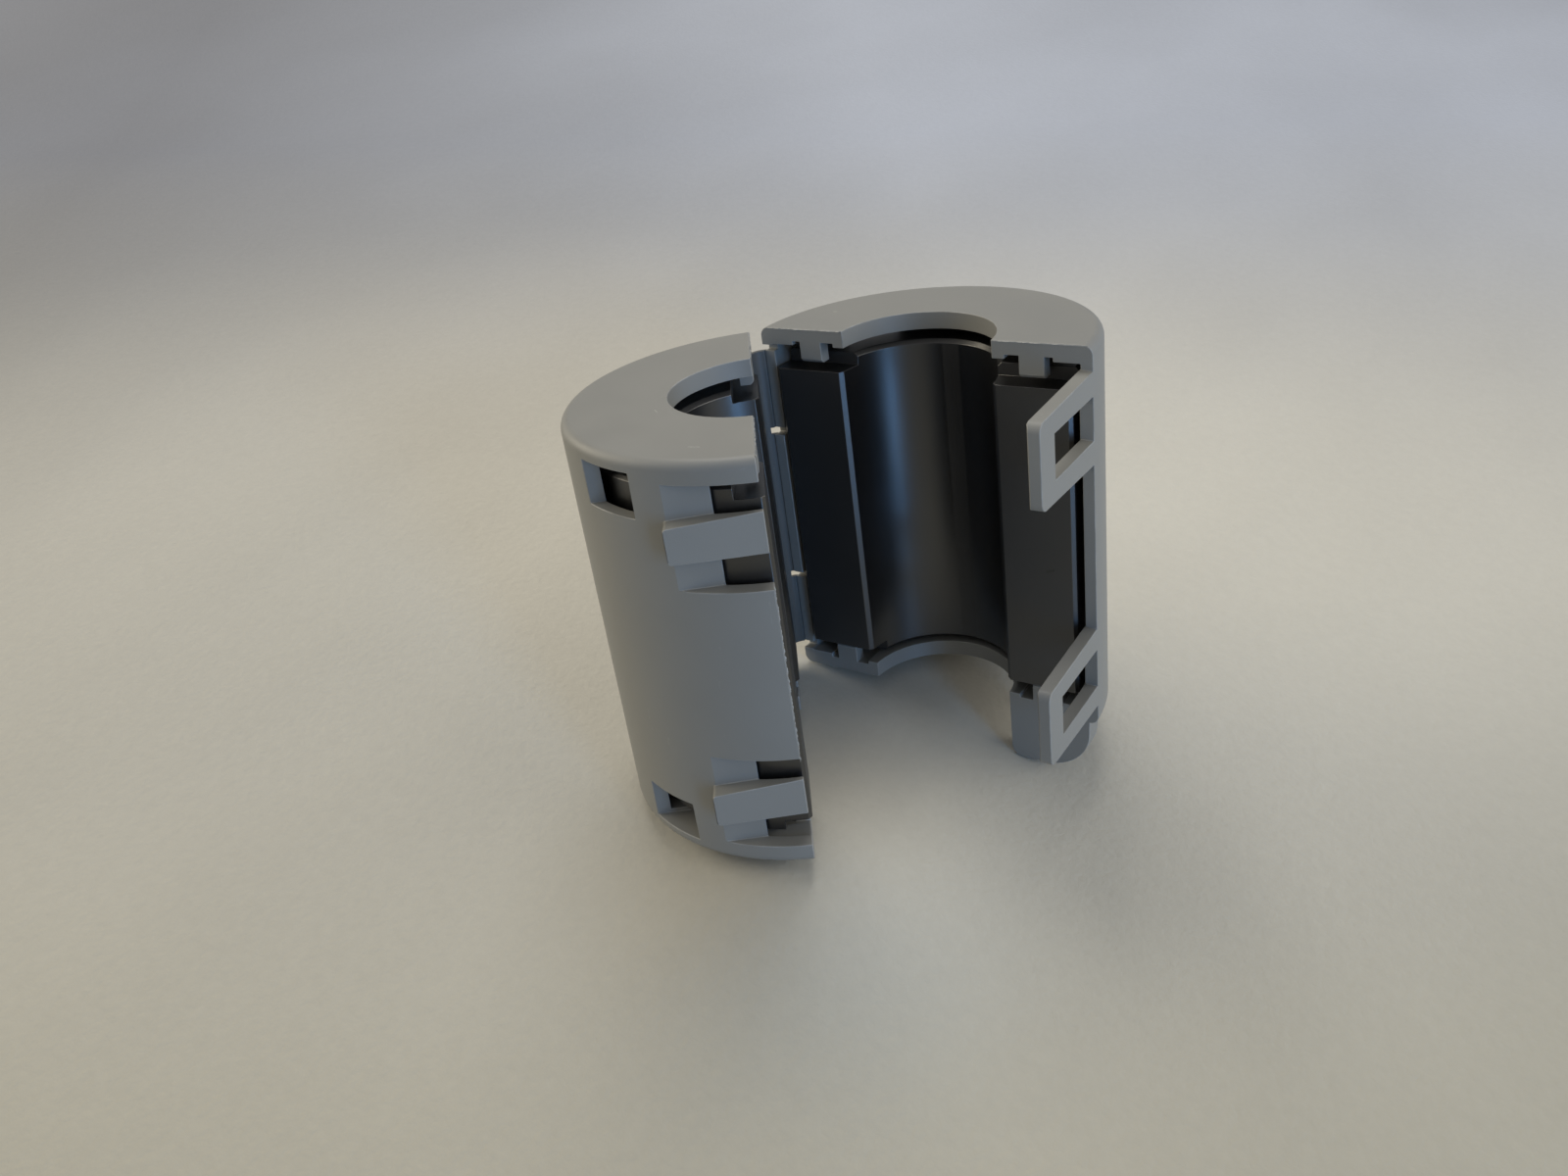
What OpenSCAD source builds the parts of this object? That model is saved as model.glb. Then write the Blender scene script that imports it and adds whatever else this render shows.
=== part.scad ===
// Clip-on ferrite bead: a split ferrite ring in a hinged, snap-shut plastic case.
// The case stands on its end, partly open. The cable axis is Z, and the origin is
// the middle of the cable bore of the half that carries the latch loops.

/* [Case] */
// Outside diameter of the shut case
case_d = 30; // [26:0.5:40]
// Length of the case along the cable
case_len = 34; // [30:0.5:48]
// Thickness of the curved wall
wall = 1; // [0.8:0.1:1.4]
// Thickness of the two end walls
end_wall = 1.5; // [1.2:0.1:2.4]
// Rounding of the outer end edges
edge_r = 0.8; // [0.4:0.1:1]
// Slit left between the two half shells when the case is shut
parting_gap = 0.56; // [0.3:0.02:0.8]
// Angle at which the case stands open
open_angle = 55; // [20:1:120]

/* [Core] */
// Diameter of the cable bore through the ferrite
bore_d = 13.7; // [12:0.1:15]
// Slack between the core's outside and the case wall
core_slack = 0.5; // [0.4:0.05:1]
// Gap between the two ground faces when the case is shut
core_face_gap = 0.06; // [0.04:0.02:0.2]
// Chamfer along the bore's edges and round its ends
bore_chamfer = 0.35; // [0.2:0.05:0.7]
// Chamfer along the outer edges of the core
rim_chamfer = 0.3; // [0.2:0.05:0.5]
// Length of the step at each end of the ground faces, along the cable
rebate_len = 1.1; // [0.8:0.1:1.3]
// Depth of that step below the ground faces
rebate_depth = 2.2; // [1.8:0.1:3]
// How far the core can slide along the cable between the claws
core_play = 0.6; // [0.2:0.02:1]
// How far the core can slide to either side; it has slid towards the hinge
side_play = 0.15; // [0:0.05:0.2]
// Width of the seat ribs inside the shells
rib_w = 1.2; // [0.8:0.1:2]
// Clearance between the seat ribs and the core
rib_clear = 0.05; // [0.02:0.01:0.1]

/* [End walls] */
// How much smaller across than the core's bore the round opening for the cable is
notch_step = 0.2; // [0.2:0.1:2]

/* [Tie tab] */
// How far the tongue for a cable tie stands out of one end wall
tab_len = 5.3; // [3:0.1:6]
// Thickness of the tongue behind the parting face
tab_t = 2; // [1.5:0.1:3]
// Rounding of the tongue's outer corner
tab_outer_r = 4.2; // [1:0.1:5]
// Rounding of the tongue's corner beside the cable
tab_inner_r = 1; // [0.4:0.1:2]

/* [Claws] */
// How much nearer to the cable the claws sit than the middle of the core's wall
claw_shift = 0.125; // [0:0.025:0.3]
// Width of each claw that hooks over the end of the core
claw_w = 2.1; // [1.6:0.1:3]
// Thickness of the claws behind the parting face
claw_t = 1.2; // [0.8:0.1:1.4]
// How far the claws stand out from the end wall
claw_drop = 1.45; // [1.3:0.05:1.7]
// Moulding relief beside a claw, on the side of the cable
inner_relief = 1.2; // [0.8:0.05:1.4]
// Moulding relief on the claw's other side
outer_relief = 0.7; // [0.5:0.05:0.9]
// Length of the windows behind the claws, from the end wall
window_len = 3.1; // [2.4:0.1:4]
// How far the windows cut into the end wall
window_cut = 0.35; // [0.2:0.05:0.5]

/* [Latch] */
// Distance of each latch's middle from the end of the case
latch_inset = 5.8; // [5.2:0.1:8]
// Height of a latch loop where it leaves the case
loop_h = 7.6; // [7:0.1:9]
// How much lower the loop is at its tip
loop_taper = 0.7; // [0:0.1:1]
// How far the loops stand out of the parting face
loop_reach = 10.3; // [9:0.1:12]
// Thickness of the loops
loop_t = 1.15; // [0.9:0.05:1.4]
// Width of the loop's bar at its tip
loop_bar = 2.65; // [2:0.05:3]
// Height of the opening in the loop
loop_open = 3.6; // [3:0.1:4]
// Rounding of the loop's tip corners
loop_corner = 0.8; // [0.4:0.1:1.2]
// Lead-in on the inner edge of the loop's tip
loop_lead = 0.2; // [0.1:0.1:0.5]
// Clearance between the loop and the recess floor under it
loop_clear = 0.6; // [0.3:0.05:0.7]
// Clearance above and below the loop in its recess
recess_clear = 0.25; // [0.15:0.05:0.5]
// Clearance between the lug and each side of the loop's opening
lug_clear = 0.2; // [0.1:0.05:0.4]
// Clearance between the lug's catch face and the loop's bar
catch_clear = 0.1; // [0.05:0.05:0.3]
// How much narrower the lug is at its catch end
lug_taper = 0.4; // [0:0.1:0.8]
// How far the lug's catch end stays inside the case's outline
lug_shy = 0.3; // [0.1:0.1:0.5]
// Fall of the lug's ramp from the catch end to the parting face
lug_ramp = 0.5; // [0.3:0.1:0.7]
// How far the recess is open to the inside, from the parting face
recess_window = 3.4; // [2.5:0.1:4]

/* [Hinge] */
// How far outside the case the hinge film bends
hinge_out = 0.65; // [0.4:0.05:0.8]
// Thickness of the hinge film
film_t = 0.4; // [0.25:0.05:0.5]
// Where the film's middle joins the outside of the wall, behind the parting face
film_root = 0.35; // [0.3:0.05:0.6]
// Height of the film's two outer stretches, in line with the latches
strap_h = 7.2; // [5:0.1:8]
// How far the walls are set back beside those stretches
strap_back = 0.3; // [0.1:0.05:0.4]
// Height of the reliefs at the film's roots that mark off the outer stretches
relief_h = 0.6; // [0.3:0.05:0.8]
// How deep the reliefs run into the walls from the parting faces
relief_depth = 0.9; // [0.6:0.1:2.5]
// Width of film that is left between two facing reliefs
film_web = 0.4; // [0.2:0.05:0.5]

/* [Hidden] */
$fn = 96;

case_r = case_d / 2;
inner_r = case_r - wall;
core_r = inner_r - core_slack;
bore_r = bore_d / 2;
notch_r = bore_r - notch_step / 2;
half_len = case_len / 2;
inner_half = half_len - end_wall;
half_gap = parting_gap / 2;
seat_r = core_r + rib_clear;
rib_angles = [45, 90, 135];
// how far a piece runs into what it is fused with
overlap = 0.5;

// The core stands on the tips of the lower claws, and all its play is at the top.
claw_tip = inner_half - claw_drop;
core_face = core_face_gap / 2;
step_half = claw_tip - core_play / 2;
core_half = step_half + rebate_len;
core_place = [-side_play, 0, -core_play / 2];

claw_x = (bore_r + core_r) / 2 - claw_shift;
claw_lead = 0.3;
window_in = claw_x - claw_w / 2 - inner_relief;
window_out = claw_x + claw_w / 2 + outer_relief;
rib_half = inner_half - window_len - wall;

latch_z = half_len - latch_inset;
loop_in = case_r - loop_t;
loop_root = sqrt(inner_r * inner_r - loop_in * loop_in);
loop_tip = half_gap - loop_reach;
floor_x = loop_in - loop_clear;
recess_h = loop_h + 2 * recess_clear;
lug_h = loop_open - 2 * lug_clear;
lug_end = -(loop_tip + loop_bar) - catch_clear;
lug_x = case_r - lug_shy;
lug_undercut = 0.05;
lug_corner = 0.3;
// how deep the backing of the recess starts; the core's room is cut out of it
backing_x = floor_x - 3 * wall;
pad_end = sqrt(case_r * case_r - floor_x * floor_x) + wall;

hinge = [-(case_r + hinge_out), 0, 0];
relief_in = latch_z - strap_h / 2 - relief_h;
relief_out = latch_z + strap_h / 2;
film_h = 2 * latch_z + strap_h;
film_run_out = 0.6;
// Where the film joins the wall, measured from the hinge line.
root_y = half_gap + film_root;
root_x = case_r + hinge_out - sqrt(case_r * case_r - root_y * root_y);
// The same place, along and across the line that halves the opening.
root_in = root_x * cos(open_angle / 2) - root_y * sin(open_angle / 2);
root_across = root_x * sin(open_angle / 2) + root_y * cos(open_angle / 2);
// The film's arc runs through both joins and the hinge line.
film_bow = max(abs(root_in), 0.02);
film_r = (root_across * root_across + film_bow * film_bow) / (2 * film_bow);
film_turn = 2 * atan(film_bow / root_across) + film_run_out / film_r * 180 / PI;

case_colour = [0.80, 0.80, 0.78];
core_colour = [0.17, 0.17, 0.18];
// overshoot of cutters
eps = 1;

module both_ends() {
    children();
    mirror([0, 0, 1]) children();
}

module both_sides() {
    children();
    mirror([1, 0, 0]) children();
}

// Turns the half that is drawn shut, on +Y, over the hinge line to where it stands open.
module open_half() {
    translate(hinge)
        rotate([0, 0, -open_angle])
            translate(-hinge)
                mirror([0, 1, 0])
                    children();
}

// Everything on the +Y side of a plane, as large as the case.
module behind(y) {
    translate([-case_d, y, -case_len])
        cube([2 * case_d, case_d, 2 * case_len]);
}

// Half of the case's outside: a barrel with rounded end edges, as its half section.
module case_section() {
    square_h = half_len - edge_r;
    translate([0, -half_len]) square([case_r - edge_r, case_len]);
    translate([0, -square_h]) square([case_r, 2 * square_h]);
    for (z = [-square_h, square_h])
        translate([case_r - edge_r, z]) circle(r = edge_r);
}

// A box given by its lowest and highest corners.
module block(low, high) {
    translate(low) cube(high - low);
}

// Slots that the mould's slides leave behind the claws: through the curved wall
// in the direction in which the halves open, and a little way into the end wall.
module claw_windows() {
    both_ends() both_sides()
        block([window_in, -eps, inner_half - window_len],
              [window_out, case_r + eps, inner_half + window_cut]);
}

// Claw that hooks over the stepped end of the core, with a lead-in for pressing the core in.
module claw() {
    translate([claw_x - claw_w / 2, 0, 0])
        rotate([90, 0, 90])
            linear_extrude(claw_w)
                polygon([
                    [half_gap, inner_half + window_cut],
                    [half_gap, claw_tip + claw_lead],
                    [half_gap + claw_lead, claw_tip],
                    [half_gap + claw_t, claw_tip],
                    [half_gap + claw_t, inner_half + window_cut]
                ]);
}

// Beside the film's two outer stretches the walls are set back a little.
module hinge_setback() {
    both_ends()
        block([-case_r - eps, 0, latch_z - strap_h / 2],
              [wall - inner_r, half_gap + strap_back, latch_z + strap_h / 2]);
}

// A relief that marks off the end of such a stretch: a small opening at the film's root.
module hinge_relief(z) {
    both_ends()
        block([hinge[0] - eps, film_web / 2, z],
              [wall - inner_r, half_gap + relief_depth, z + relief_h]);
}

// Low ribs along the inside of the shell on which the core sits.
module seat_ribs() {
    difference() {
        for (a = rib_angles)
            rotate([0, 0, a])
                block([seat_r - overlap, -rib_w / 2, -rib_half],
                      [inner_r + overlap, rib_w / 2, rib_half]);
        core_space();
    }
}

// The room that the core takes up as it slides from side to side.
module core_space() {
    for (x = [-side_play, 0, side_play])
        translate([x, 0, 0])
            cylinder(r = seat_r, h = 2 * case_len, center = true);
}

// What both halves of the case share.
module half_shell() {
    difference() {
        rotate_extrude() intersection() {
            case_section();
            translate([0, -case_len]) square([case_r + eps, 2 * case_len]);
        }
        cylinder(r = inner_r, h = 2 * inner_half, center = true);
        cylinder(r = notch_r, h = case_len + 2 * eps, center = true);
        mirror([0, 1, 0]) behind(-half_gap);
        claw_windows();
        hinge_setback();
        hinge_relief(relief_in);
        hinge_relief(relief_out);
    }
    both_ends() both_sides() claw();
    seat_ribs();
}

// Outline of a latch loop, with Y drawn along X and Z along Y.
module loop_outline() {
    tip_h = loop_h - loop_taper;
    corner_y = loop_tip + loop_corner;
    difference() {
        union() {
            polygon([
                [half_gap, loop_h / 2], [corner_y, tip_h / 2],
                [corner_y, -tip_h / 2], [half_gap, -loop_h / 2]
            ]);
            translate([loop_tip, -tip_h / 2 + loop_corner])
                square([2 * loop_corner, tip_h - 2 * loop_corner]);
            for (s = [-1, 1])
                translate([corner_y, s * (tip_h / 2 - loop_corner)]) circle(r = loop_corner);
        }
        translate([loop_tip + loop_bar, -loop_open / 2])
            square([loop_reach, loop_open]);
    }
}

// Latch loop, and the thickening of the wall from which it springs.
module latch_loop() {
    difference() {
        translate([loop_in, 0, 0])
            rotate([90, 0, 90])
                linear_extrude(loop_t)
                    loop_outline();
        // lead-in that rides up the lug
        translate([0, 0, -loop_h])
            linear_extrude(2 * loop_h)
                polygon([
                    [loop_in - eps, loop_tip - eps], [loop_in + loop_lead, loop_tip - eps],
                    [loop_in + loop_lead, loop_tip], [loop_in, loop_tip + 2 * loop_lead],
                    [loop_in - eps, loop_tip + 2 * loop_lead]
                ]);
    }
    intersection() {
        block([loop_in, half_gap, -loop_h / 2], [case_r, loop_root, loop_h / 2]);
        cylinder(r = case_r, h = loop_h, center = true);
    }
}

// Wedge-shaped lug over which a loop snaps: a ramp from the parting face up to the catch face.
module latch_lug() {
    difference() {
        intersection() {
            translate([0, 0, -lug_h / 2])
                linear_extrude(lug_h)
                    polygon([
                        [core_r - wall, half_gap], [lug_x - lug_ramp, half_gap],
                        [lug_x, lug_end], [core_r - wall, lug_end - 2 * lug_undercut]
                    ]);
            translate([core_r - wall, 0, 0])
                rotate([90, 0, 90])
                    linear_extrude(case_r)
                        lug_outline();
        }
        cylinder(r = seat_r + side_play + lug_undercut, h = loop_h, center = true);
    }
}

// Outline of the lug seen from outside, with Y drawn along X and Z along Y.
module lug_outline() {
    end_h = lug_h - lug_taper;
    corner_y = lug_end - lug_corner;
    polygon([
        [half_gap, lug_h / 2], [corner_y, end_h / 2],
        [corner_y, -end_h / 2], [half_gap, -lug_h / 2]
    ]);
    translate([corner_y - lug_corner, -end_h / 2 + lug_corner])
        square([2 * lug_corner, end_h - 2 * lug_corner]);
    for (s = [-1, 1])
        translate([corner_y, s * (end_h / 2 - lug_corner)]) circle(r = lug_corner);
}

// Backing of the recess floor and cheeks on both sides of the recess, close to the core.
module recess_backing() {
    difference() {
        union() {
            block([backing_x, half_gap + recess_window, -recess_h / 2],
                  [floor_x, pad_end, recess_h / 2]);
            both_ends()
                block([backing_x, half_gap, recess_h / 2],
                      [case_r, pad_end, recess_h / 2 + wall]);
        }
        core_space();
    }
}

// Tongue that a cable tie holds against the cable, on the lower end beside the latches.
module tie_tab() {
    low = -half_len - tab_len;
    out = case_r - edge_r;
    translate([0, half_gap + tab_t, 0])
        rotate([90, 0, 0])
            linear_extrude(tab_t)
                intersection() {
                    translate([notch_r, low]) square([out - notch_r, tab_len + end_wall / 2]);
                    union() {
                        translate([notch_r + tab_inner_r, low])
                            square([out - notch_r - tab_inner_r - tab_outer_r, 2 * tab_len]);
                        translate([notch_r, low + tab_inner_r]) square([tab_len, 2 * tab_len]);
                        translate([out - tab_len, low + tab_outer_r]) square([tab_len, 2 * tab_len]);
                        translate([notch_r + tab_inner_r, low + tab_inner_r]) circle(r = tab_inner_r);
                        translate([out - tab_outer_r, low + tab_outer_r]) circle(r = tab_outer_r);
                    }
                }
}

module loop_shell() {
    color(case_colour) {
        half_shell();
        tie_tab();
        both_ends() translate([0, 0, latch_z]) latch_loop();
    }
}

module catch_shell() {
    color(case_colour) open_half() {
        difference() {
            union() {
                half_shell();
                intersection() {
                    both_ends() translate([0, 0, latch_z]) recess_backing();
                    cylinder(r = inner_r + overlap, h = 2 * inner_half + end_wall, center = true);
                }
            }
            both_ends()
                block([floor_x, -eps, latch_z - recess_h / 2],
                      [case_r + eps, case_r, latch_z + recess_h / 2]);
        }
        both_ends() translate([0, 0, latch_z]) latch_lug();
    }
}

// The film that the two shells were moulded with: a shallow arc that ends on the outsides
// of both shells, and bends as the case opens.
module living_hinge() {
    color(case_colour)
        difference() {
            translate(hinge)
                rotate([0, 0, -open_angle / 2])
                    mirror([root_in > 0 ? 1 : 0, 0, 0])
                        translate([-film_r, 0, 0])
                            rotate([0, 0, -film_turn])
                                rotate_extrude(angle = 2 * film_turn)
                                    translate([film_r - film_t / 2, -film_h / 2])
                                        square([film_t, film_h]);
            cylinder(r = case_r, h = case_len, center = true);
            hinge_relief(relief_in);
            open_half() {
                cylinder(r = case_r, h = case_len, center = true);
                hinge_relief(relief_in);
            }
        }
}

// Half ring of ferrite. Its diametral faces are ground flat and stepped at the ends
// for the claws, and the edges that grinding would chip are chamfered.
module half_core() {
    b = bore_chamfer;
    r = rim_chamfer;
    difference() {
        rotate_extrude()
            polygon([
                [bore_r + b, -core_half], [core_r - r, -core_half], [core_r, -core_half + r],
                [core_r, core_half - r], [core_r - r, core_half], [bore_r + b, core_half],
                [bore_r, core_half - b], [bore_r, -core_half + b]
            ]);
        mirror([0, 1, 0]) behind(-core_face);
        both_ends()
            block([-case_r, -eps, step_half],
                  [case_r, core_face + rebate_depth, case_len]);
        both_sides() {
            long_chamfer(bore_r, 1, b);
            long_chamfer(core_r, -1, r);
        }
    }
}

// Chamfer of a ground face's edge at x, running into the material along side (1 or -1).
module long_chamfer(x, side, c) {
    translate([0, 0, -case_len / 2])
        linear_extrude(case_len)
            polygon([
                [x - side * c, core_face - c], [x + side * 2 * c, core_face - c],
                [x + side * c, core_face], [x - side * c, core_face + 2 * c]
            ]);
}

module loop_side_core() {
    color(core_colour) translate(core_place) half_core();
}

module catch_side_core() {
    color(core_colour) open_half() translate(core_place) half_core();
}

loop_shell();
catch_shell();
living_hinge();
loop_side_core();
catch_side_core();
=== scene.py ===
from math import cos, exp, radians, sin

import bmesh
import bpy
from mathutils import Matrix, Vector
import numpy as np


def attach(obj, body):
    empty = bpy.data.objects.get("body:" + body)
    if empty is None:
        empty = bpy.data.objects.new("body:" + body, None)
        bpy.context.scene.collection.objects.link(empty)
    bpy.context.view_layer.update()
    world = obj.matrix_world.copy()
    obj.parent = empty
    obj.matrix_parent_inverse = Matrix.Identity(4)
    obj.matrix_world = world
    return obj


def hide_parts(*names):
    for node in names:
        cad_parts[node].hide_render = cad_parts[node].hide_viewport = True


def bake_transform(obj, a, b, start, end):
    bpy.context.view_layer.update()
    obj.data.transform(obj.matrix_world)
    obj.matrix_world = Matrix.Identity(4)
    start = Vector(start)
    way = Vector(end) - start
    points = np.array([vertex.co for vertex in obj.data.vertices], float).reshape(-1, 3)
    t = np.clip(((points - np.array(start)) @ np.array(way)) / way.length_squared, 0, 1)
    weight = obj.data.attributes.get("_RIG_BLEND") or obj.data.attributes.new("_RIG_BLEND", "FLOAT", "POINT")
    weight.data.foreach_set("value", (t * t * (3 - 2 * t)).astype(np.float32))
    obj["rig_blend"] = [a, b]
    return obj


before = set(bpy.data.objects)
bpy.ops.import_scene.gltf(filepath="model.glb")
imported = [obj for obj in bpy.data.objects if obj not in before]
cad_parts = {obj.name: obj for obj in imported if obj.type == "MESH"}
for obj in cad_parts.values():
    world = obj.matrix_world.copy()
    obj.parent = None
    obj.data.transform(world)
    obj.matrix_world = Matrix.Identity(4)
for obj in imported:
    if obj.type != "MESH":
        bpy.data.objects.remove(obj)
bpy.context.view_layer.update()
MM = 0.001
scene = bpy.context.scene

# ---------------------------------------------------------------------------
# Loop half's shell: injection moulded in light grey polyamide, in a mould with
# a fine spark-eroded finish. Its edges are as sharp as the mould could be cut,
# rounded by 0.07 mm, and they shine where they were handled.
# ---------------------------------------------------------------------------
case_edge_r = 0.07 * MM
case_grey = (0.252, 0.252, 0.238, 1)
case_scuffed = (0.400, 0.400, 0.385, 1)
case_bore = Vector((0, 0, 0))
# Scratches on the upper ends in millimetres: where each starts, where it goes, and its width.
end_scratches = [((-4.1, -24.86, 17), (0.75, 0.19, 0), 0.08),
                 ((-10.4, 5.33, 17), (0.12, 0.02, 0), 0.17),
                 ((-11.3, -19.4, 17), (0.5, -0.35, 0), 0.06)]


def new_group(name, inputs, outputs):
    """An empty shader node group with named inputs, each with its value, and named outputs."""
    group = bpy.data.node_groups.new(name, "ShaderNodeTree")
    for label, kind, value in inputs:
        socket = group.interface.new_socket(label, in_out="INPUT", socket_type=kind)
        if value is not None:
            socket.default_value = value
    for label, kind in outputs:
        group.interface.new_socket(label, in_out="OUTPUT", socket_type=kind)
    return group, group.nodes.new("NodeGroupInput"), group.nodes.new("NodeGroupOutput")


def add_node(tree, kind, settings=None, **values):
    """A node with its settings and the values of its inputs, by name."""
    node = tree.nodes.new(kind)
    for key, value in (settings or {}).items():
        setattr(node, key, value)
    for key, value in values.items():
        node.inputs[key.replace("_", " ")].default_value = value
    return node


def noise(tree, place, scale, detail=2.0, roughness=0.5, stretch=None):
    """Noise over a place, in lumps of about 1 / scale metres, drawn out by stretch."""
    if stretch:
        mapping = add_node(tree, "ShaderNodeMapping", Scale=stretch)
        tree.links.new(place, mapping.inputs["Vector"])
        place = mapping.outputs["Vector"]
    node = add_node(tree, "ShaderNodeTexNoise", Scale=scale, Detail=detail, Roughness=roughness)
    tree.links.new(place, node.inputs["Vector"])
    return node.outputs["Fac"]


def ramp(tree, value, low, high, bottom=0.0, top=1.0):
    """Maps the stretch from low to high onto bottom to top, and holds the ends."""
    node = add_node(tree, "ShaderNodeMapRange", From_Min=low, From_Max=high, To_Min=bottom, To_Max=top)
    tree.links.new(value, node.inputs["Value"])
    return node.outputs["Result"]


def combine(tree, operation, a, b):
    """Two values through a Math node; each may be a socket or a number."""
    node = add_node(tree, "ShaderNodeMath", {"operation": operation})
    for socket, value in zip(node.inputs, (a, b)):
        if isinstance(value, (int, float)):
            socket.default_value = value
        else:
            tree.links.new(value, socket)
    return node.outputs["Value"]


def mix_colours(tree, amount, below, above):
    """Goes from one colour to another; each may be a socket or a colour."""
    node = tree.nodes.new("ShaderNodeMix")
    node.data_type = "RGBA"
    for socket, value in zip((node.inputs[0], node.inputs[6], node.inputs[7]), (amount, below, above)):
        if isinstance(value, (tuple, float)):
            socket.default_value = value
        else:
            tree.links.new(value, socket)
    return node.outputs[2]


def mould_grain_group():
    """The pebbled skin that spark erosion leaves in a mould, and its unevenness from place to place."""
    group, given, result = new_group(
        "mould grain",
        [("Place", "NodeSocketVector", None), ("Grains per metre", "NodeSocketFloat", 9000.0)],
        [("Height", "NodeSocketFloat"), ("Unevenness", "NodeSocketFloat")])
    grain = group.nodes.new("ShaderNodeTexNoise")
    grain.inputs["Detail"].default_value = 2.5
    group.links.new(given.outputs["Place"], grain.inputs["Vector"])
    group.links.new(given.outputs["Grains per metre"], grain.inputs["Scale"])
    wave = noise(group, given.outputs["Place"], 180.0, detail=3.0)
    group.links.new(grain.outputs["Fac"], result.inputs["Height"])
    group.links.new(wave, result.inputs["Unevenness"])
    return group


def worn_edge_group():
    """Where handling has rubbed an edge: along the rounded edges, in broken stretches."""
    group, given, result = new_group(
        "worn edge",
        [("Place", "NodeSocketVector", None), ("Edge", "NodeSocketFloat", 0.0),
         ("Amount", "NodeSocketFloat", 0.5)],
        [("Wear", "NodeSocketFloat")])
    patches = noise(group, given.outputs["Place"], 420.0, detail=4.0, roughness=0.6)
    broken = ramp(group, patches, 0.35, 0.62)
    worn = combine(group, "MULTIPLY", given.outputs["Edge"], broken)
    group.links.new(combine(group, "MULTIPLY", worn, given.outputs["Amount"]), result.inputs["Wear"])
    return group


def fine_marks_group():
    """Hairline rubs and scratches from handling, as a mask of thin broken lines."""
    group, given, result = new_group(
        "fine marks",
        [("Place", "NodeSocketVector", None), ("Amount", "NodeSocketFloat", 0.5)],
        [("Marks", "NodeSocketFloat")])
    lines = None
    for stretch, turn in (((1, 14, 1), 0.5), ((9, 1, 3), 1.9)):
        mapping = add_node(group, "ShaderNodeMapping", Scale=stretch, Rotation=(turn, 0.4 * turn, turn))
        group.links.new(given.outputs["Place"], mapping.inputs["Vector"])
        streaks = noise(group, mapping.outputs["Vector"], 260.0, detail=5.0, roughness=0.7)
        thin = ramp(group, streaks, 0.66, 0.70)
        lines = thin if lines is None else combine(group, "MAXIMUM", lines, thin)
    where = ramp(group, noise(group, given.outputs["Place"], 120.0), 0.50, 0.66)
    marks = combine(group, "MULTIPLY", combine(group, "MULTIPLY", lines, where), given.outputs["Amount"])
    group.links.new(marks, result.inputs["Marks"])
    return group


def single_mark_group():
    """One scratch, straight from a start along an axis, as a mask of a given width."""
    group, given, result = new_group(
        "single mark",
        [("Place", "NodeSocketVector", None), ("Start", "NodeSocketVector", None),
         ("Axis", "NodeSocketVector", None), ("Width", "NodeSocketFloat", 0.0001)],
        [("Mask", "NodeSocketFloat")])

    def vector(operation, a, b):
        node = add_node(group, "ShaderNodeVectorMath", {"operation": operation})
        group.links.new(a, node.inputs[0])
        group.links.new(b, node.inputs[1])
        return node

    start, axis = given.outputs["Start"], given.outputs["Axis"]
    from_start = vector("SUBTRACT", given.outputs["Place"], start).outputs["Vector"]
    share = combine(group, "DIVIDE", vector("DOT_PRODUCT", from_start, axis).outputs["Value"],
                    vector("DOT_PRODUCT", axis, axis).outputs["Value"])
    scaled = add_node(group, "ShaderNodeVectorMath", {"operation": "SCALE"})
    group.links.new(axis, scaled.inputs[0])
    group.links.new(ramp(group, share, 0.0, 1.0), scaled.inputs["Scale"])
    beside = vector("DISTANCE", from_start, scaled.outputs["Vector"]).outputs["Value"]
    ragged = combine(group, "MULTIPLY", noise(group, given.outputs["Place"], 5000.0), 1.4)
    widths = combine(group, "MULTIPLY", combine(group, "DIVIDE", beside, given.outputs["Width"]), ragged)
    group.links.new(ramp(group, widths, 0.3, 0.6, 1.0, 0.0), result.inputs["Mask"])
    return group


def bump(tree, height, depth, strength=1.0, below=None):
    """Bump of a height from 0 to 1 that is depth metres high."""
    node = add_node(tree, "ShaderNodeBump", Strength=strength, Distance=depth)
    tree.links.new(height, node.inputs["Height"])
    if below is not None:
        tree.links.new(below, node.inputs["Normal"])
    return node.outputs["Normal"]


mould_grain = mould_grain_group()
worn_edge = worn_edge_group()
fine_marks = fine_marks_group()
single_mark = single_mark_group()


def marked(tree, place, start, axis, width):
    """A scratch on a piece, with its sizes in millimetres."""
    node = add_node(tree, "ShaderNodeGroup", {"node_tree": single_mark}, Start=Vector(start) * MM,
                    Axis=Vector(axis) * MM, Width=width * MM)
    tree.links.new(place, node.inputs["Place"])
    return node.outputs["Mask"]


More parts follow.
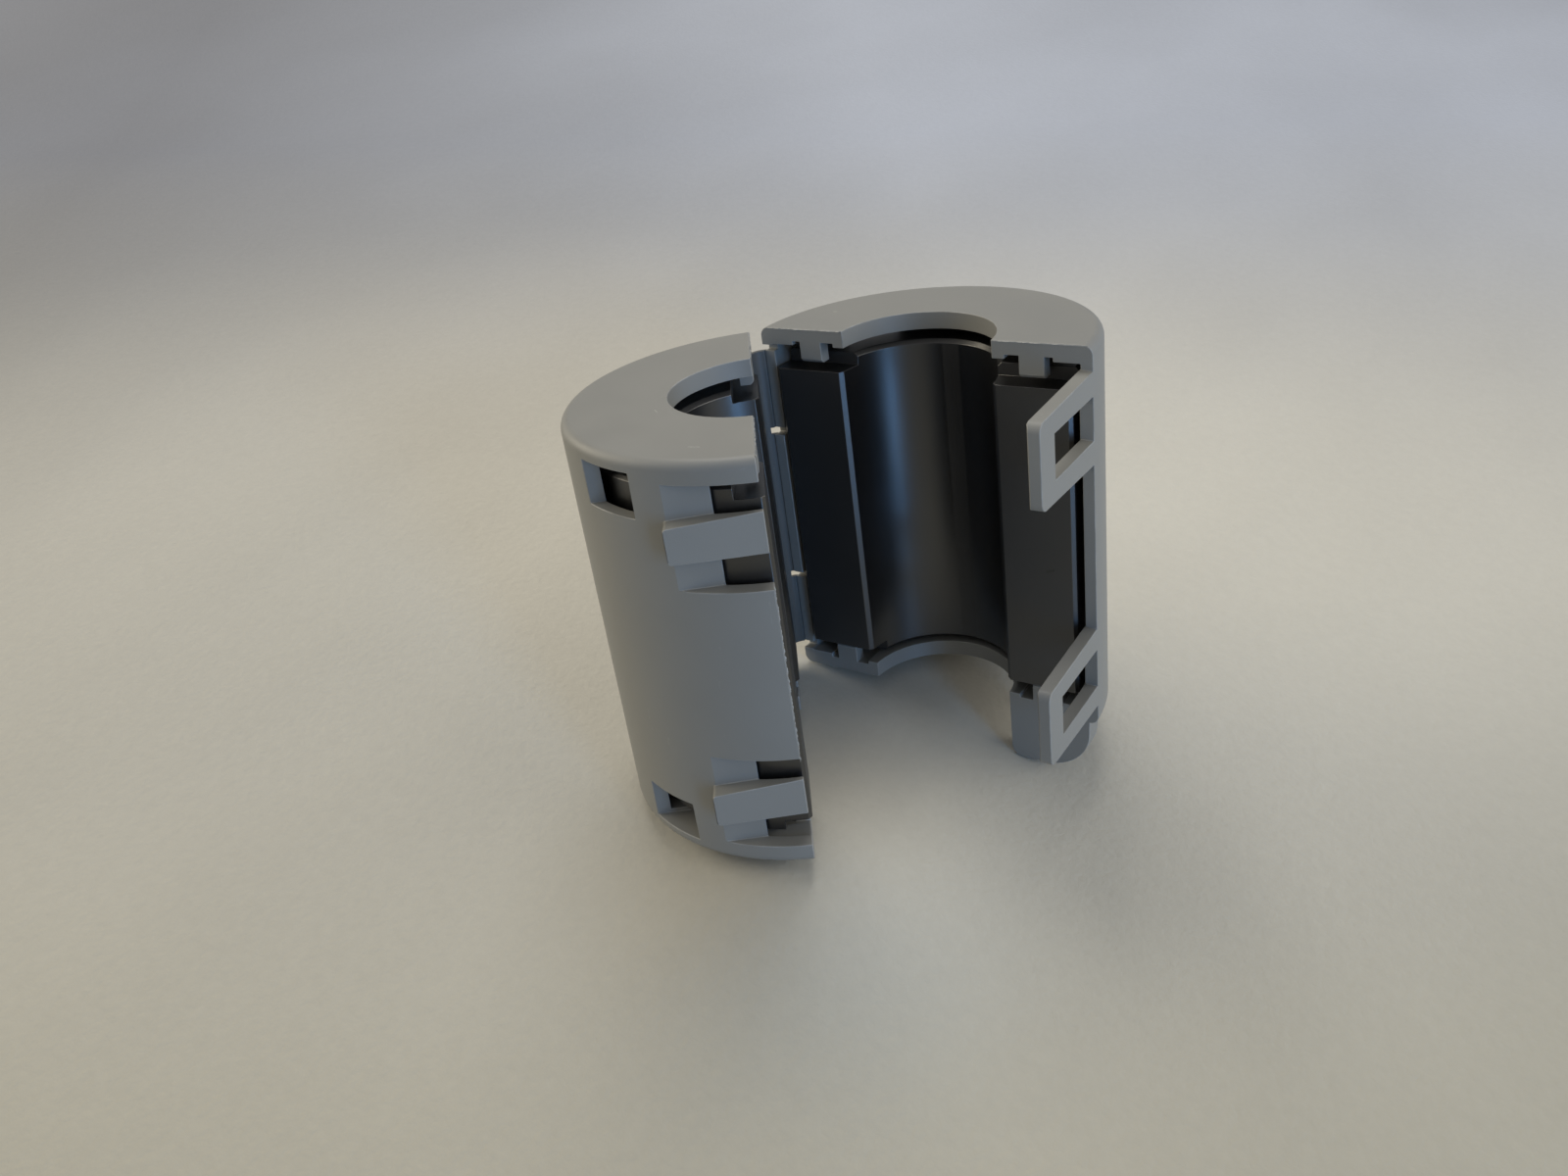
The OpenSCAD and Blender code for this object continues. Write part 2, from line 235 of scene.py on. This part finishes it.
def case_plastic(name, colour, scuffed, wear):
    """Satin moulded plastic: uneven grain and gloss, rubbed edges, hairline marks and scratches."""
    material = bpy.data.materials.new(name)
    material.use_nodes = True
    tree = material.node_tree
    shader = tree.nodes["Principled BSDF"]
    place = tree.nodes.new("ShaderNodeTexCoord").outputs["Object"]

    grain = add_node(tree, "ShaderNodeGroup", {"node_tree": mould_grain})
    tree.links.new(place, grain.inputs["Place"])
    edge = add_node(tree, "ShaderNodeGroup", {"node_tree": worn_edge}, Amount=wear)
    rounded = add_node(tree, "ShaderNodeAttribute", {"attribute_name": "rounded_edge"})
    tree.links.new(place, edge.inputs["Place"])
    tree.links.new(rounded.outputs["Fac"], edge.inputs["Edge"])
    marks = add_node(tree, "ShaderNodeGroup", {"node_tree": fine_marks}, Amount=wear)
    tree.links.new(place, marks.inputs["Place"])

    rubbed = combine(tree, "MAXIMUM", edge.outputs["Wear"],
                     combine(tree, "MULTIPLY", marks.outputs["Marks"], 0.35))
    for start, axis, width in end_scratches:
        scratch = combine(tree, "MULTIPLY", marked(tree, place, start, axis, width), 0.7)
        rubbed = combine(tree, "MAXIMUM", rubbed, scratch)
    uneven = ramp(tree, grain.outputs["Unevenness"], 0.3, 0.7)
    darker = tuple(0.955 * c for c in colour[:3]) + (1,)
    body = mix_colours(tree, uneven, darker, colour)
    tree.links.new(mix_colours(tree, rubbed, body, scuffed), shader.inputs["Base Color"])
    rough = ramp(tree, grain.outputs["Unevenness"], 0.25, 0.75, 0.46, 0.56)
    rough = combine(tree, "SUBTRACT", rough, combine(tree, "MULTIPLY", edge.outputs["Wear"], 0.14))
    tree.links.new(rough, shader.inputs["Roughness"])
    shader.inputs["Specular IOR Level"].default_value = 0.45
    normal = bump(tree, grain.outputs["Height"], 0.006 * MM)
    tree.links.new(bump(tree, marks.outputs["Marks"], 0.004 * MM, below=normal), shader.inputs["Normal"])
    return material


case_material = case_plastic("case_polyamide", case_grey, case_scuffed, 0.6)


def rounded_copy(node, name, radius, sharp=30, steps=2):
    """A copy of a CAD node with its sharp edges rounded, and the rounded strips marked."""
    same_point, shortest_edge, flat_within = 0.008 * MM, 0.004 * MM, radians(0.6)
    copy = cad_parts[node].data.copy()
    copy.materials.clear()
    work = bmesh.new()
    work.from_mesh(copy)
    bmesh.ops.remove_doubles(work, verts=work.verts, dist=same_point)
    bmesh.ops.dissolve_degenerate(work, edges=work.edges, dist=shortest_edge)
    bmesh.ops.dissolve_limit(work, angle_limit=flat_within, verts=work.verts, edges=work.edges)
    mark = work.faces.layers.float.new("rounded_edge")
    edges = [e for e in work.edges
             if len(e.link_faces) == 2 and e.calc_face_angle() > radians(sharp)]
    made = bmesh.ops.bevel(work, geom=edges, offset=radius, offset_type="OFFSET", segments=steps,
                           profile=0.5, affect="EDGES", clamp_overlap=False, miter_outer="SHARP")
    for face in work.faces:
        face.smooth = True
        face[mark] = 0.0
    for face in made["faces"]:
        face[mark] = 1.0
    work.to_mesh(copy)
    work.free()
    piece = bpy.data.objects.new(name, copy)
    scene.collection.objects.link(piece)
    return piece


def true_walls(piece, centre):
    """Shades each flat or round wall true to itself, so that only the rounded strips turn the light."""
    even_reach, least_radius, straight_out = 0.004 * MM, 2 * MM, 0.998
    same_wall, same_strip = 0.9, 0.2
    work = bmesh.new()
    work.from_mesh(piece.data)
    mark = work.faces.layers.float["rounded_edge"]
    centre = Vector((centre.x, centre.y, 0))

    def spoke(point):
        return Vector((point.x, point.y, 0)) - centre

    def roundness(face):
        """1 or -1 for an outer or inner facet of a cylinder about the centre, else 0."""
        reach = [spoke(vertex.co).length for vertex in face.verts]
        facing = spoke(face.calc_center_median()).normalized().dot(face.normal)
        if max(reach) - min(reach) > even_reach or abs(facing) < straight_out or min(reach) < least_radius:
            return 0
        return 1 if facing > 0 else -1

    turning = {face: roundness(face) for face in work.faces if face[mark] == 0}

    def true_normal(face, vertex):
        if turning.get(face):
            return turning[face] * spoke(vertex.co).normalized()
        return face.normal

    normals = []
    for face in work.faces:
        for loop in face.loops:
            walls = [other for other in loop.vert.link_loops if other.face[mark] == 0]
            if face[mark] == 0:
                lead = face.normal
            elif walls:
                lead = max((other.face.normal for other in walls), key=face.normal.dot)
            else:
                lead, walls = face.normal, list(loop.vert.link_loops)
            total = Vector((0, 0, 0))
            for other in walls:
                if other.face.normal.dot(lead) > (same_wall if other.face[mark] == 0 else same_strip):
                    total += other.calc_angle() * true_normal(other.face, loop.vert)
            normals.append(tuple(total.normalized()))
    work.free()
    piece.data.normals_split_custom_set(normals)


loop_case = rounded_copy("loop_shell", "loop_half_case", case_edge_r)
true_walls(loop_case, case_bore)
loop_case.data.materials.append(case_material)
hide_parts("loop_shell")
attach(loop_case, "loop_half")

# ---------------------------------------------------------------------------
# Catch half's shell: the other cavity of the same mould and the same shot of
# plastic, with recesses and lugs where the loops snap over it.
# ---------------------------------------------------------------------------
open_angle = 55
hinge_axis = Vector((-15.65, 0, 0)) * MM
catch_turn = Matrix.Rotation(radians(-open_angle), 3, "Z")
catch_bore = hinge_axis - catch_turn @ hinge_axis
catch_case = rounded_copy("catch_shell", "catch_half_case", case_edge_r)
true_walls(catch_case, catch_bore)
catch_case.data.materials.append(case_material)
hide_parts("catch_shell")
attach(catch_case, "catch_half")

# ---------------------------------------------------------------------------
# Moulding burr: a ragged fin of plastic, up to 0.15 mm high, left where the two
# mould plates met, along the edges of both halves' parting faces.
# ---------------------------------------------------------------------------
burr_height = 0.15 * MM
burr_thickness = 0.09 * MM
burr_step = 0.08 * MM
burr_material = case_plastic("burr_polyamide", (0.36, 0.36, 0.34, 1), (0.50, 0.50, 0.48, 1), 0.9)


def burr_nodes():
    """A fin from a start along an axis, folded from a grid of three rows, its crest ragged by noise."""
    group = bpy.data.node_groups.new("moulding burr", "GeometryNodeTree")
    group.interface.new_socket("Geometry", in_out="OUTPUT", socket_type="NodeSocketGeometry")
    for label, kind in (("Start", "Vector"), ("Axis", "Vector"), ("Out", "Vector"), ("Side", "Vector"),
                        ("Height", "Float"), ("Thickness", "Float"), ("Steps", "Int"), ("Seed", "Float"),
                        ("Material", "Material")):
        group.interface.new_socket(label, in_out="INPUT", socket_type="NodeSocket" + kind)
    given = group.nodes.new("NodeGroupInput")
    result = group.nodes.new("NodeGroupOutput")

    def vector(operation, a, b, socket=1):
        node = add_node(group, "ShaderNodeVectorMath", {"operation": operation})
        group.links.new(a, node.inputs[0])
        group.links.new(b, node.inputs["Scale"] if operation == "SCALE" else node.inputs[socket])
        return node.outputs["Vector"]

    grid = add_node(group, "GeometryNodeMeshGrid", Size_X=1.0, Size_Y=2.0, Vertices_Y=3)
    group.links.new(given.outputs["Steps"], grid.inputs["Vertices X"])
    where = group.nodes.new("ShaderNodeSeparateXYZ")
    group.links.new(group.nodes.new("GeometryNodeInputPosition").outputs["Position"], where.inputs["Vector"])
    along = combine(group, "ADD", where.outputs["X"], 0.5)
    crest = combine(group, "SUBTRACT", 1.0, combine(group, "ABSOLUTE", where.outputs["Y"], 0.0))
    on_line = vector("ADD", given.outputs["Start"], vector("SCALE", given.outputs["Axis"], along))
    rag = add_node(group, "ShaderNodeTexNoise", {"noise_dimensions": "4D"}, Scale=1700.0, Detail=4.0,
                   Roughness=0.7)
    group.links.new(on_line, rag.inputs["Vector"])
    group.links.new(given.outputs["Seed"], rag.inputs["W"])
    tall = add_node(group, "ShaderNodeMapRange", From_Min=0.44, From_Max=0.72, To_Min=0.12, To_Max=1.0)
    group.links.new(rag.outputs["Fac"], tall.inputs["Value"])
    rise = combine(group, "MULTIPLY", crest, combine(group, "MULTIPLY", tall.outputs["Result"],
                                                     given.outputs["Height"]))
    spread = combine(group, "MULTIPLY", where.outputs["Y"],
                     combine(group, "MULTIPLY", given.outputs["Thickness"], 0.5))
    place = vector("ADD", vector("ADD", on_line, vector("SCALE", given.outputs["Out"], rise)),
                   vector("SCALE", given.outputs["Side"], spread))
    fold = group.nodes.new("GeometryNodeSetPosition")
    group.links.new(grid.outputs["Mesh"], fold.inputs["Geometry"])
    group.links.new(place, fold.inputs["Position"])
    whole = group.nodes.new("GeometryNodeRealizeInstances")
    group.links.new(fold.outputs["Geometry"], whole.inputs["Geometry"])
    cover = group.nodes.new("GeometryNodeSetMaterial")
    group.links.new(whole.outputs["Geometry"], cover.inputs["Geometry"])
    group.links.new(given.outputs["Material"], cover.inputs["Material"])
    group.links.new(cover.outputs["Geometry"], result.inputs["Geometry"])
    return group


burr_group = burr_nodes()


def burr(name, body, edges, turn):
    """All fins of one half in one mesh; edges are given for the shut case, and turned with their half."""
    spin = Matrix.Rotation(radians(turn), 4, "Z")
    joined = bmesh.new()
    for number, (start, end, out, side) in enumerate(edges):
        start, end = (hinge_axis + spin @ (MM * Vector(v) - hinge_axis) for v in (start, end))
        values = {"Start": start, "Axis": end - start, "Out": spin @ Vector(out),
                  "Side": spin @ Vector(side), "Height": burr_height, "Thickness": burr_thickness,
                  "Steps": int((end - start).length / burr_step), "Seed": 3.0 * number + turn,
                  "Material": burr_material}
        strip = bpy.data.objects.new(name + " strip", bpy.data.meshes.new(name + " strip"))
        scene.collection.objects.link(strip)
        modifier = strip.modifiers.new("burr", "NODES")
        modifier.node_group = burr_group
        for item in burr_group.interface.items_tree:
            if item.in_out == "INPUT":
                modifier[item.identifier] = values[item.name]
        strip.update_tag()
        bpy.context.view_layer.update()
        made = bpy.data.meshes.new_from_object(strip.evaluated_get(bpy.context.evaluated_depsgraph_get()))
        joined.from_mesh(made)
        bpy.data.objects.remove(strip)
        bpy.data.meshes.remove(made)
    mesh = bpy.data.meshes.new(name)
    bmesh.ops.recalc_face_normals(joined, faces=joined.faces)
    joined.to_mesh(mesh)
    joined.free()
    mesh.materials.append(burr_material)
    piece = bpy.data.objects.new(name, mesh)
    scene.collection.objects.link(piece)
    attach(piece, body)


# In millimetres: half the gap between the parting faces, the edges that carry a fin, and where fins end.
parting, upper_edge, front_edge = 0.28, 16.93, 14.93
bore_side, latch_side, hinge_side, between_latches = 7.0, 14.6, -14.2, 7.4
burr("catch_half_burr", "catch_half",
     [((bore_side, -parting, upper_edge), (latch_side, -parting, upper_edge), (0, 1, 0), (0, 0, 1)),
      ((front_edge, -parting, -between_latches), (front_edge, -parting, between_latches),
       (0, 1, 0), (-1, 0, 0)),
      ((hinge_side, -parting, upper_edge), (-bore_side, -parting, upper_edge), (0, 1, 0), (0, 0, 1))],
     -open_angle)
burr("loop_half_burr", "loop_half",
     [((bore_side, parting, upper_edge), (latch_side, parting, upper_edge), (0, -1, 0), (0, 0, -1)),
      ((hinge_side, parting, upper_edge), (-bore_side, parting, upper_edge), (0, -1, 0), (0, 0, -1))], 0)

# ---------------------------------------------------------------------------
# Living hinge: a thin film that is moulded with both shells and flexed while
# warm, so that its plastic is drawn. It has small reliefs between the latches.
# ---------------------------------------------------------------------------
film_edge_r = 0.04 * MM
film_half = 0.45 * MM
# Painted shade: the film is the shells' plastic, but its grey and its scuff colour are darker than the
# shells', for the shade between the two halves.
film_painted_shade_grey = (0.105, 0.105, 0.10, 1)
film_scuffed_in_painted_shade = (0.25, 0.25, 0.24, 1)
film = rounded_copy("living_hinge", "hinge_film", film_edge_r)
film.data.materials.append(case_plastic("film_polyamide_painted_shade", film_painted_shade_grey, film_scuffed_in_painted_shade, 0.3))
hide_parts("living_hinge")
half_open = radians(open_angle) / 2
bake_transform(film, "loop_half", "catch_half",
         start=(hinge_axis.x + film_half * sin(half_open), film_half * cos(half_open), 0),
         end=(hinge_axis.x, -0.6 * MM, 0))

# ---------------------------------------------------------------------------
# Ferrite half rings: pressed and sintered manganese-zinc ferrite. The bore and
# the outside are as fired, smooth and semi-gloss; the two flats are ground.
# ---------------------------------------------------------------------------
ferrite_edge_r = 0.05 * MM


def ferrite(name, colour, rough_low, rough_high, ground):
    """Sintered ferrite with cloudy gloss and chipped edges; ground, it has grinding lines and a nick."""
    material = bpy.data.materials.new(name)
    material.use_nodes = True
    tree = material.node_tree
    shader = tree.nodes["Principled BSDF"]
    place = tree.nodes.new("ShaderNodeTexCoord").outputs["Object"]
    cloud = noise(tree, place, 160.0, detail=3.0)
    grit = noise(tree, place, 16000.0, detail=2.0)
    pale = tuple(1.12 * c for c in colour[:3]) + (1,)
    body = mix_colours(tree, ramp(tree, cloud, 0.35, 0.7), colour, pale)
    edge = add_node(tree, "ShaderNodeGroup", {"node_tree": worn_edge}, Amount=0.7)
    rounded = add_node(tree, "ShaderNodeAttribute", {"attribute_name": "rounded_edge"})
    tree.links.new(place, edge.inputs["Place"])
    tree.links.new(rounded.outputs["Fac"], edge.inputs["Edge"])
    chipped = tuple(3.0 * c for c in colour[:3]) + (1,)
    worn = mix_colours(tree, edge.outputs["Wear"], body, chipped)
    if ground:
        nick = marked(tree, place, (10.9, 0.03, -2.55), (0.55, 0, 0.22), 0.16)
        worn = mix_colours(tree, nick, worn, (0.002, 0.002, 0.002, 1))
    tree.links.new(worn, shader.inputs["Base Color"])
    tree.links.new(ramp(tree, cloud, 0.3, 0.7, rough_low, rough_high), shader.inputs["Roughness"])
    normal = bump(tree, grit, 0.003 * MM)
    if ground:
        lines = noise(tree, place, 700.0, detail=3.0, roughness=0.7, stretch=(14, 14, 1))
        normal = bump(tree, lines, 0.003 * MM, below=normal)
    tree.links.new(normal, shader.inputs["Normal"])
    shader.inputs["IOR"].default_value = 1.8 if ground else 1.9
    return material


fired = ferrite("ferrite_fired", (0.004, 0.004, 0.0045, 1), 0.31, 0.36, False)
ground = ferrite("ferrite_ground", (0.016, 0.016, 0.016, 1), 0.44, 0.50, True)
for node, body, bore, facing in (
        ("loop_side_core", "loop_half", case_bore, Vector((0, -1, 0))),
        ("catch_side_core", "catch_half", catch_bore, catch_turn @ Vector((0, 1, 0)))):
    core = rounded_copy(node, node.replace("side_core", "half_ferrite"), ferrite_edge_r, sharp=25)
    true_walls(core, bore)
    core.data.materials.append(fired)
    core.data.materials.append(ground)
    for face in core.data.polygons:
        if face.normal.dot(facing) > 0.99:
            face.material_index = 1
    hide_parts(node)
    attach(core, body)

# ---------------------------------------------------------------------------
# Pale sheet: the case stands on the end of its tie tongue and on an edge of each
# half, so the sheet lies across those three points, and the case leans 15 degrees.
# ---------------------------------------------------------------------------
stand_up = Vector((0.22694, -0.11815, 0.96672)).normalized()
stand_at = Vector((7.47, 2.28, -22.26)) * MM
table_away = Vector((-0.6, 0.8, 0))
sheet_away = (table_away - table_away.dot(stand_up) * stand_up).normalized()
sheet_across = sheet_away.cross(stand_up)
sheet_middle = stand_at - 0.012 * sheet_across
swell_under = Vector((5.0, -27.5, 0)) * MM
swell_height, swell_reach = 5.5 * MM, 9 * MM
bend_from, bend_radius, bend_turn, bend_steps = 0.16, 0.90, radians(80), 24


def backdrop():
    """A pale sheet that lies on the table, swells a little under the catch half and sweeps up behind."""
    fine = [2 * MM * i for i in range(-30, 26)]
    profile = [(along, 0.0) for along in [-0.6, -0.1] + fine + [0.08, 0.12]]
    for i in range(bend_steps + 1):
        turned = bend_turn * i / bend_steps
        profile.append((bend_from + bend_radius * sin(turned), bend_radius * (1 - cos(turned))))
    swell = swell_under - sheet_middle
    swell_along, swell_across = swell.dot(sheet_away), swell.dot(sheet_across)
    mesh = bpy.data.meshes.new("sheet")
    work = bmesh.new()
    rows = []
    for along, rise in profile:
        row = []
        for across in [-1.6, -0.1] + fine + [0.1, 1.6]:
            apart = ((along - swell_along) ** 2 + (across - swell_across) ** 2) / swell_reach ** 2
            height = rise + swell_height * exp(-apart / 2)
            row.append(work.verts.new(sheet_middle + across * sheet_across + along * sheet_away
                                      + height * stand_up))
        rows.append(row)
    for near, far in zip(rows, rows[1:]):
        for i in range(len(near) - 1):
            face = work.faces.new((near[i], near[i + 1], far[i + 1], far[i]))
            face.smooth = True
    work.normal_update()
    if sum(face.normal.dot(stand_up) for face in work.faces) < 0:
        bmesh.ops.reverse_faces(work, faces=work.faces)
    work.to_mesh(mesh)
    work.free()
    sheet = bpy.data.objects.new("sheet", mesh)
    scene.collection.objects.link(sheet)
    return sheet


def measured(tree, place, direction):
    """How far a place lies along a direction from the middle of the sheet."""
    node = add_node(tree, "ShaderNodeVectorMath", {"operation": "DOT_PRODUCT"})
    tree.links.new(place, node.inputs[0])
    node.inputs[1].default_value = direction
    return combine(tree, "SUBTRACT", node.outputs["Value"], sheet_middle.dot(direction))


def sheet_cloth_with_painted_light():
    """Woven cotton with painted light and shade: painted warm light near the case, painted cool daylight far
    off with painted shade far to the left, a painted pool of light behind it, painted shade in its folds,
    and darker threads.
    """
    # Painted light and shade: the near tint is painted warm light, the far tints are painted cool daylight,
    # darker to the left as painted shade, the pool tint is a painted pool of light, and the shadow tint is
    # painted shade in the folds.
    near_warm_painted_light, shadow_tint = (0.46, 0.43, 0.345, 1), (0.12, 0.115, 0.105, 1)
    far_left_painted_shade, far_right_painted_daylight = (0.22, 0.23, 0.26, 1), (0.455, 0.485, 0.555, 1)
    painted_light_pool_tint = (0.63, 0.605, 0.53, 1)
    cloth = bpy.data.materials.new("sheet_cloth_with_painted_light")
    cloth.use_nodes = True
    tree = cloth.node_tree
    shader = tree.nodes["Principled BSDF"]
    place = tree.nodes.new("ShaderNodeTexCoord").outputs["Object"]
    away, across = measured(tree, place, sheet_away), measured(tree, place, sheet_across)

    # Painted light: cool daylight far off, darker to the left, turning to warm light near the case.
    far_painted_light_tint = mix_colours(tree, ramp(tree, across, -0.12, 0.02), far_left_painted_shade, far_right_painted_daylight)
    painted_light_tint = mix_colours(tree, ramp(tree, away, -0.03, 0.15), near_warm_painted_light, far_painted_light_tint)
    # A painted pool of light: palest just behind the case, fading out over 10 cm, and reaching further
    # across than along.
    behind = combine(tree, "SUBTRACT", away, 0.030)
    beside = combine(tree, "MULTIPLY", across, 0.55)
    reach = combine(tree, "ADD", combine(tree, "MULTIPLY", behind, behind),
                    combine(tree, "MULTIPLY", beside, beside))
    painted_light_pool = add_node(tree, "ShaderNodeMapRange", {"interpolation_type": "SMOOTHSTEP"}, From_Min=0.0,
                    From_Max=0.10, To_Min=1.0, To_Max=0.0)
    tree.links.new(combine(tree, "SQRT", reach, 0.0), painted_light_pool.inputs["Value"])
    # The painted light tint turns to the painted pool of light.
    pale = mix_colours(tree, painted_light_pool.outputs["Result"], painted_light_tint, painted_light_pool_tint)
    # Painted shade in the folds, which are also bumped, and a slight darkening of the threads.
    folds = noise(tree, place, 16.0, detail=3.0, stretch=(1.0, 0.6, 1.0))
    thread = noise(tree, place, 900.0, detail=3.0, roughness=0.7)
    painted_fold_shade_and_threads = combine(tree, "ADD", ramp(tree, folds, 0.35, 0.65, 0.0, 0.14),
                    ramp(tree, thread, 0.3, 0.7, 0.0, 0.05))
    tree.links.new(mix_colours(tree, painted_fold_shade_and_threads, pale, shadow_tint), shader.inputs["Base Color"])
    weave = noise(tree, place, 1500.0, detail=2.0)
    rise = bump(tree, folds, 1.2 * MM)
    tree.links.new(bump(tree, weave, 0.06 * MM, below=rise), shader.inputs["Normal"])
    shader.inputs["Roughness"].default_value = 0.9
    shader.inputs["Specular IOR Level"].default_value = 0.1

    # Seen from under the table, the sheet is clear, so that the case's lower end shows.
    under = tree.nodes.new("ShaderNodeNewGeometry").outputs["Backfacing"]
    seen = tree.nodes.new("ShaderNodeLightPath").outputs["Is Camera Ray"]
    through = tree.nodes.new("ShaderNodeMixShader")
    tree.links.new(combine(tree, "MULTIPLY", under, seen), through.inputs[0])
    tree.links.new(shader.outputs["BSDF"], through.inputs[1])
    tree.links.new(tree.nodes.new("ShaderNodeBsdfTransparent").outputs["BSDF"], through.inputs[2])
    tree.links.new(through.outputs["Shader"], tree.nodes["Material Output"].inputs["Surface"])
    return cloth


sheet = backdrop()
sheet.data.materials.append(sheet_cloth_with_painted_light())

# ---------------------------------------------------------------------------
# Lamps and camera: a large soft light overhead, daylight from two windows on
# the right and at the front, and the glow of a warm room on the left.
# ---------------------------------------------------------------------------
lit_middle = Vector((-9, -10, 0)) * MM


def soft_lamp(name, azimuth, elevation, distance, size, power, colour):
    """A soft box that looks at the case from an azimuth and an elevation in degrees."""
    data = bpy.data.lights.new(name, "AREA")
    data.shape = "RECTANGLE"
    data.size, data.size_y = size
    data.energy = power
    data.color = colour
    lamp = bpy.data.objects.new(name, data)
    toward = Vector((-sin(radians(azimuth)) * cos(radians(elevation)),
                     cos(radians(azimuth)) * cos(radians(elevation)), sin(radians(elevation))))
    lamp.location = lit_middle + distance * toward
    lamp.rotation_euler = toward.to_track_quat("Z", "Y").to_euler()
    scene.collection.objects.link(lamp)


soft_lamp("overhead", 30, 70, 0.60, (0.34, 0.34), 1.74, (1.0, 0.98, 0.94))
soft_lamp("window", -74, 14, 0.40, (0.36, 0.18), 0.64, (1.0, 0.97, 0.90))
soft_lamp("far window", -116, 0, 0.42, (0.085, 0.28), 0.58, (0.20, 0.50, 1.0))
soft_lamp("room", 105, 27, 0.50, (0.35, 0.25), 1.25, (1.0, 0.90, 0.70))

world = bpy.data.worlds.new("room")
world.use_nodes = True
air = world.node_tree.nodes["Background"]
air.inputs["Color"].default_value = (1.0, 0.98, 0.95, 1)
air.inputs["Strength"].default_value = 0.29
scene.world = world

camera_place = Vector((48.14, -86.81, 47.30)) * MM
camera_aim = Vector((-8.737, -10.12, -2.347)) * MM
camera_roll = radians(-8.26)
camera_data = bpy.data.cameras.new("camera")
camera_data.sensor_width = 36
camera_data.lens = 28.95
camera_data.clip_start = 0.002
camera_data.clip_end = 10
camera = bpy.data.objects.new("camera", camera_data)
ahead = (camera_aim - camera_place).normalized()
level = ahead.cross(Vector((0, 0, 1))).normalized()
upright = level.cross(ahead)
right = cos(camera_roll) * level + sin(camera_roll) * upright
up = -sin(camera_roll) * level + cos(camera_roll) * upright
camera.matrix_world = Matrix.Translation(camera_place) @ Matrix((right, up, -ahead)).transposed().to_4x4()
scene.collection.objects.link(camera)
scene.camera = camera

scene.view_settings.view_transform = "Standard"
